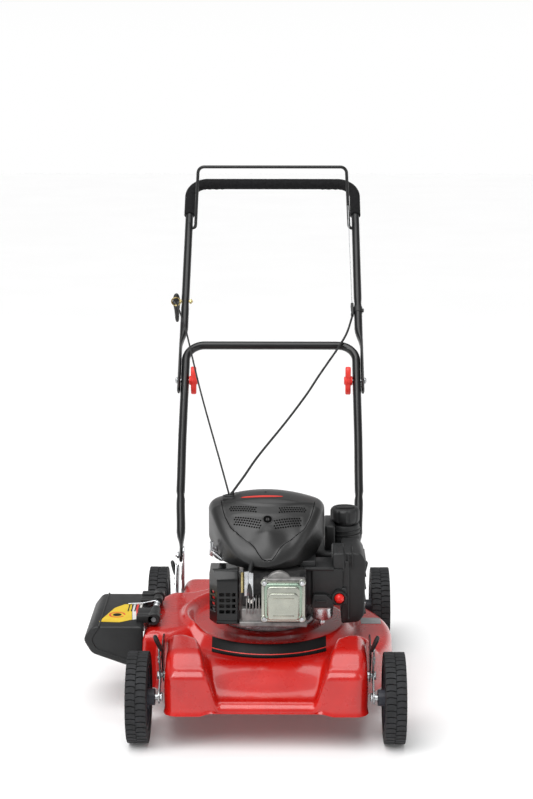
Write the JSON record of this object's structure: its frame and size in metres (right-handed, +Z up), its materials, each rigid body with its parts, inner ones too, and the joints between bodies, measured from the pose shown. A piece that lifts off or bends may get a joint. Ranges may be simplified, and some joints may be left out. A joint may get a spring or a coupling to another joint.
{
  "type": "push lawn mower",
  "caption": "Petrol push lawn mower with a pressed steel deck, side discharge flap, four height-adjustable wheels and a folding tube handle with a bail.",
  "frame": {"origin": "on the ground, under the centre of the whole mower's footprint", "axes": "+Z up, +Y towards the operator and the handle, -Y is the mower's front, +X to the right when looking at the front from -Y"},
  "size_m": [0.642, 1.48, 1.0304],
  "materials": {
    "red_paint": "gloss",
    "black_paint": "satin",
    "black_plastic": "satin",
    "shroud_plastic": "semi-gloss",
    "red_plastic": "semi-gloss",
    "tyre_rubber": "matt",
    "foam": "matt foam",
    "bulb_rubber": "semi-gloss",
    "zinc": "zinc plated",
    "gold_zinc": "yellow zinc",
    "cast_aluminium": "as cast",
    "cast_iron": "as cast",
    "steel": "machined"
  },
  "bodies": {
    "chassis": {"deck_shell": "red_paint", "chute_hinge_pin": "zinc", "chute_spring": "zinc", "handle_bracket_left": "zinc", "handle_bracket_right": "zinc", "front_left_height_plate": "black_paint", "front_right_height_plate": "black_paint", "rear_left_height_plate": "black_paint", "rear_right_height_plate": "black_paint", "starter_rope_lower": "black_plastic", "brake_cable_lower": "black_plastic", "engine_block": "cast_aluminium", "valve_cover": "gold_zinc", "spark_plug": "zinc", "muffler_guard": "black_paint", "muffler": "cast_iron", "blower_shroud": "shroud_plastic", "fuel_tank": "black_plastic", "air_filter_housing": "black_plastic", "carburettor": "cast_aluminium"},
    "rotor": {"crankshaft": "steel", "flywheel": "cast_iron", "blade_hub": "cast_iron", "blade": "steel", "blade_bolt": "zinc"},
    "chute": {"discharge_chute": "black_plastic"},
    "lower_handle": {"lower_handle": "black_paint", "handle_bolt_left": "zinc", "handle_bolt_right": "zinc", "starter_rope_upper": "black_plastic", "brake_cable_upper": "black_plastic"},
    "upper_handle": {"upper_handle": "black_paint", "handle_grip": "foam", "rope_guide": "gold_zinc", "cable_clamp": "black_plastic", "bail_wire": "zinc"},
    "bail": {"bail_bar": "black_paint"},
    "flywheel_brake": {"flywheel_brake": "steel"},
    "starter_handle": {"starter_handle": "black_plastic"},
    "knob_left": {"wing_knob_left": "red_plastic"},
    "knob_right": {"wing_knob_right": "red_plastic"},
    "primer": {"primer_bulb": "bulb_rubber"},
    "fuel_cap": {"fuel_cap": "black_plastic"},
    "oil_cap": {"oil_cap": "black_plastic"},
    "front_left_adjuster": {"front_left_height_lever": "zinc", "front_left_axle_bolt": "zinc"},
    "front_left_wheel": {"front_left_tyre": "tyre_rubber", "front_left_rim": "black_plastic"},
    "front_right_adjuster": {"front_right_height_lever": "zinc", "front_right_axle_bolt": "zinc"},
    "front_right_wheel": {"front_right_tyre": "tyre_rubber", "front_right_rim": "black_plastic"},
    "rear_left_adjuster": {"rear_left_height_lever": "zinc", "rear_left_axle_bolt": "zinc"},
    "rear_left_wheel": {"rear_left_tyre": "tyre_rubber", "rear_left_rim": "black_plastic"},
    "rear_right_adjuster": {"rear_right_height_lever": "zinc", "rear_right_axle_bolt": "zinc"},
    "rear_right_wheel": {"rear_right_tyre": "tyre_rubber", "rear_right_rim": "black_plastic"}
  },
  "joints": [
    {"name": "front_left_height", "type": "hinge", "parent": "chassis", "child": "front_left_adjuster", "pos_m": [-0.1585, -0.60333, 0.1165], "axis": [-1, 0, 0], "range_deg": [0, 55]},
    {"name": "front_left_wheel_spin", "type": "hinge", "parent": "front_left_adjuster", "child": "front_left_wheel", "pos_m": [-0.198, -0.65096, 0.089], "axis": [1, 0, 0], "continuous": true},
    {"name": "front_right_height", "type": "hinge", "parent": "chassis", "child": "front_right_adjuster", "pos_m": [0.2605, -0.60333, 0.1165], "axis": [-1, 0, 0], "range_deg": [0, 55]},
    {"name": "front_right_wheel_spin", "type": "hinge", "parent": "front_right_adjuster", "child": "front_right_wheel", "pos_m": [0.3, -0.65096, 0.089], "axis": [1, 0, 0], "continuous": true},
    {"name": "rear_left_height", "type": "hinge", "parent": "chassis", "child": "rear_left_adjuster", "pos_m": [-0.1585, -0.14359, 0.1165], "axis": [1, 0, 0], "range_deg": [0, 55]},
    {"name": "rear_left_wheel_spin", "type": "hinge", "parent": "rear_left_adjuster", "child": "rear_left_wheel", "pos_m": [-0.198, -0.09596, 0.089], "axis": [1, 0, 0], "continuous": true},
    {"name": "rear_right_height", "type": "hinge", "parent": "chassis", "child": "rear_right_adjuster", "pos_m": [0.2605, -0.14359, 0.1165], "axis": [1, 0, 0], "range_deg": [0, 55]},
    {"name": "rear_right_wheel_spin", "type": "hinge", "parent": "rear_right_adjuster", "child": "rear_right_wheel", "pos_m": [0.3, -0.09596, 0.089], "axis": [1, 0, 0], "continuous": true},
    {"name": "crankshaft_spin", "type": "hinge", "parent": "chassis", "child": "rotor", "pos_m": [0.051, -0.39596, 0.2], "axis": [0, 0, 1], "continuous": true},
    {"name": "chute_flap", "type": "hinge", "parent": "chassis", "child": "chute", "pos_m": [-0.18, -0.39596, 0.192], "axis": [0, 1, 0], "range_deg": [0, 70], "stiffness_Nm_per_rad": 0.4, "springref_deg": -34.38},
    {"name": "lower_handle_fold", "type": "hinge", "parent": "chassis", "child": "lower_handle", "pos_m": [0.051, -0.11596, 0.215], "axis": [1, 0, 0], "range_deg": [0, 100], "deforming": ["starter_rope_lower", "brake_cable_lower"]},
    {"name": "upper_handle_fold", "type": "hinge", "parent": "lower_handle", "child": "upper_handle", "pos_m": [0.051, 0.24744, 0.5422], "axis": [-1, 0, 0], "range_deg": [-130, 0], "deforming": ["starter_rope_upper", "brake_cable_upper"]},
    {"name": "bail_squeeze", "type": "hinge", "parent": "upper_handle", "child": "bail", "pos_m": [0.051, 0.61232, 0.87075], "axis": [-1, 0, 0], "range_deg": [0, 41], "stiffness_Nm_per_rad": 1, "springref_deg": -28.65, "deforming": ["bail_wire"]},
    {"name": "flywheel_brake_release", "type": "hinge", "parent": "chassis", "child": "flywheel_brake", "pos_m": [-0.043, -0.35796, 0.343], "axis": [0, 0, 1], "range_deg": [-7, 0]},
    {"name": "starter_pull", "type": "slide", "parent": "upper_handle", "child": "starter_handle", "axis": [0, 0.9397, 0.342], "range_m": [0, 0.5], "stiffness_N_per_m": 12, "springref_m": -0.5},
    {"name": "knob_left_turn", "type": "hinge", "parent": "lower_handle", "child": "knob_left", "pos_m": [-0.135, 0.24744, 0.5422], "axis": [1, 0, 0], "range_deg": [0, 360]},
    {"name": "knob_right_turn", "type": "hinge", "parent": "lower_handle", "child": "knob_right", "pos_m": [0.237, 0.24744, 0.5422], "axis": [1, 0, 0], "range_deg": [0, 360]},
    {"name": "primer_press", "type": "slide", "parent": "chassis", "child": "primer", "axis": [0, 1, 0], "range_m": [0, 0.005], "stiffness_N_per_m": 800},
    {"name": "fuel_cap_turn", "type": "hinge", "parent": "chassis", "child": "fuel_cap", "pos_m": [0.213, -0.30596, 0.365], "axis": [0, 0, 1], "range_deg": [0, 120]},
    {"name": "oil_cap_turn", "type": "hinge", "parent": "chassis", "child": "oil_cap", "pos_m": [-0.021, -0.32196, 0.245], "axis": [0, 0, 1], "range_deg": [0, 360]}
  ],
  "couplings": [
    {"joint": "flywheel_brake_release", "follows": "bail_squeeze", "ratio": -0.15}
  ]
}
